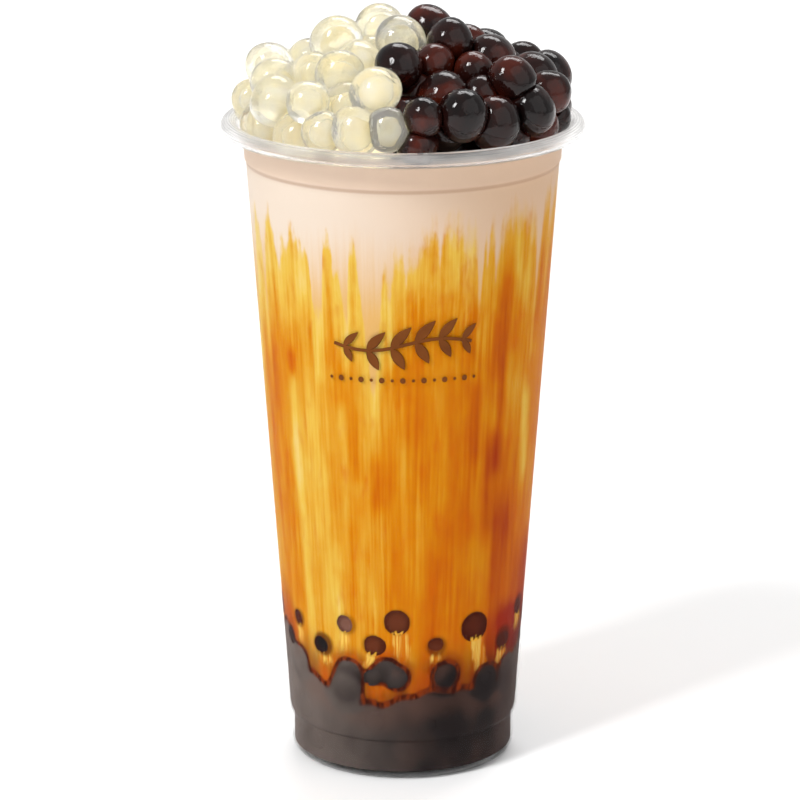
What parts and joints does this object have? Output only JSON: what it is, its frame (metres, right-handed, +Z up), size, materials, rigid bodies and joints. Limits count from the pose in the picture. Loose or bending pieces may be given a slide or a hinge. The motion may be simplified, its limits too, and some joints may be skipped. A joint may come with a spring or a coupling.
{
  "type": "bubble tea",
  "caption": "Tall tapered clear cup of milk tea over amber syrup, with a bed of dark pearls at the foot and a heap of white and black pearls above the rim.",
  "frame": {"origin": "middle of the cup's foot, on the surface it stands on", "axes": "+Z up along the cup's axis; -Y towards the viewer; white pearls on -X, black pearls on +X"},
  "size_m": [0.095, 0.095, 0.2026],
  "materials": {
    "cup": "clear, gloss",
    "pearl_bed": "wet, dark brown",
    "syrup_tea": "cloudy liquid",
    "milk_tea": "milky liquid",
    "white_pearls": "wet, translucent",
    "black_pearls": "wet, gloss"
  },
  "bodies": {
    "root": {"cup": "cup", "pearl_bed": "pearl_bed", "syrup_tea": "syrup_tea", "milk_tea": "milk_tea", "white_pearls": "white_pearls", "black_pearls": "black_pearls"}
  },
  "joints": []
}
